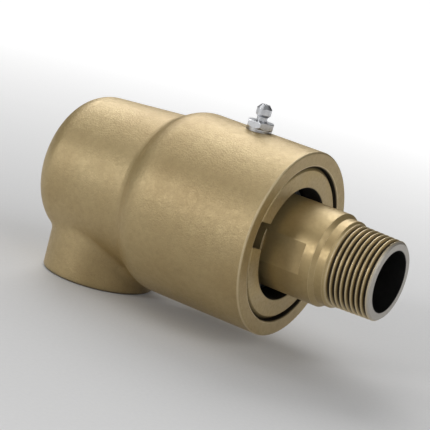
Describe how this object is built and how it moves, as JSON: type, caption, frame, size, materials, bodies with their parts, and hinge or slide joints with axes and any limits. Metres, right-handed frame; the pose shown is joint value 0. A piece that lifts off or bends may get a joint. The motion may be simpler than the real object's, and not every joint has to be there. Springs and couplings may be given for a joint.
{
  "type": "hydraulic rotary union",
  "caption": "Mono-flow hydraulic rotary union: cast housing with a side port, and a hollow threaded rotor that turns in it on ball bearings behind a spring-loaded face seal.",
  "frame": {"origin": "centre of the rotor's threaded end face", "axes": "+X along the rotor axis out of the threaded end, -Z out of the side port, +Z at the grease fitting"},
  "size_m": [0.1534, 0.0768, 0.0923],
  "materials": {
    "housing_paint": "satin",
    "rotor_plating": "satin",
    "nut_plating": "satin",
    "bearing_steel": "ground",
    "ball_steel": "polished",
    "shield_steel": "pressed sheet",
    "cage_brass": "machined",
    "spacer_steel": "turned",
    "spring_steel": "drawn wire",
    "seal_ceramic": "lapped",
    "seal_carbon": "lapped graphite",
    "seal_rubber": "moulded",
    "fitting_zinc": "bright zinc plate"
  },
  "bodies": {
    "housing_body": {"housing": "housing_paint", "bearing_retainer_nut": "nut_plating", "front_bearing_outer_ring": "bearing_steel", "front_bearing_shield": "shield_steel", "rear_bearing_outer_ring": "bearing_steel", "rear_bearing_shield": "shield_steel", "outer_bearing_spacer": "spacer_steel", "carbon_seal_o_ring": "seal_rubber", "seal_springs": "spring_steel", "seal_anti_rotation_pins": "bearing_steel", "grease_fitting_body": "fitting_zinc", "grease_fitting_spring": "spring_steel"},
    "rotor": {"rotor_shaft": "rotor_plating", "front_bearing_inner_ring": "bearing_steel", "rear_bearing_inner_ring": "bearing_steel", "inner_bearing_spacer": "spacer_steel", "shaft_retaining_ring": "spring_steel", "rotating_seal_ring": "seal_ceramic", "rotating_seal_o_ring": "seal_rubber", "seal_drive_pins": "bearing_steel"},
    "front_cage": {"front_bearing_cage": "cage_brass", "front_bearing_balls": "ball_steel"},
    "rear_cage": {"rear_bearing_cage": "cage_brass", "rear_bearing_balls": "ball_steel"},
    "floating_seal": {"carbon_seal_ring": "seal_carbon", "seal_thrust_washer": "spacer_steel"},
    "check_ball": {"grease_fitting_ball": "ball_steel"}
  },
  "joints": [
    {"name": "rotor_spin", "type": "hinge", "parent": "housing_body", "child": "rotor", "pos_m": [0, 0, 0], "axis": [1, 0, 0], "continuous": true},
    {"name": "front_cage_spin", "type": "hinge", "parent": "housing_body", "child": "front_cage", "pos_m": [-0.0603, 0, 0], "axis": [1, 0, 0], "continuous": true},
    {"name": "rear_cage_spin", "type": "hinge", "parent": "housing_body", "child": "rear_cage", "pos_m": [-0.0833, 0, 0], "axis": [1, 0, 0], "continuous": true},
    {"name": "seal_float", "type": "slide", "parent": "housing_body", "child": "floating_seal", "axis": [1, 0, 0], "range_m": [-0.0015, 0], "stiffness_N_per_m": 4000, "springref_m": 0.004, "deforming": ["seal_springs"]},
    {"name": "check_ball_slide", "type": "slide", "parent": "housing_body", "child": "check_ball", "axis": [0, 0, 1], "range_m": [-0.0008, 0], "stiffness_N_per_m": 300, "springref_m": 0.003, "deforming": ["grease_fitting_spring"]}
  ],
  "couplings": [
    {"joint": "front_cage_spin", "follows": "rotor_spin", "ratio": 0.41816},
    {"joint": "rear_cage_spin", "follows": "rotor_spin", "ratio": 0.41816}
  ]
}
